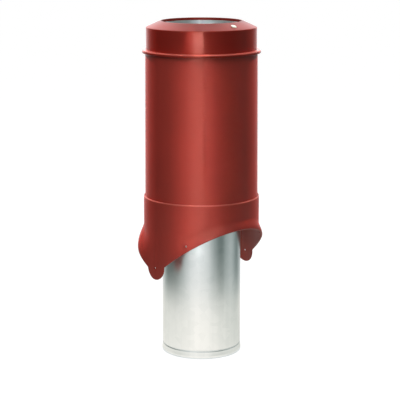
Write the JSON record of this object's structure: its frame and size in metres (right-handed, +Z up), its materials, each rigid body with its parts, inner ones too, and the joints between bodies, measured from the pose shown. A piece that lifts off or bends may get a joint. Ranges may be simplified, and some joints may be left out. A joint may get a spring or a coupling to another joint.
{
  "type": "roof ventilation outlet pipe",
  "caption": "Insulated roof ventilation outlet: a red moulded pipe with a flanged cap and a flared, cut-away skirt, round a galvanised steel duct open at both ends.",
  "frame": {"origin": "on the duct's axis at its lower end, which is also the middle of the object's base", "axes": "+Z up along the duct; -Y towards the skirt's straight-cut side and the plug, +Y towards its rounded side; the two flaps with tongues at +X and -X"},
  "size_m": [0.2442, 0.251, 0.6786],
  "materials": {
    "red_plastic": "satin brick-red moulded polypropylene, coloured through",
    "galvanised_sheet": "bright galvanised sheet, soft reflections",
    "white_plastic": "cream-white plastic",
    "foam": "pale yellow rigid foam, closed cells"
  },
  "bodies": {
    "root": {"inner_duct": "galvanised_sheet", "outer_pipe": "red_plastic", "top_cap": "red_plastic", "cap_plug": "white_plastic", "roof_skirt": "red_plastic", "insulation": "foam"}
  },
  "joints": []
}
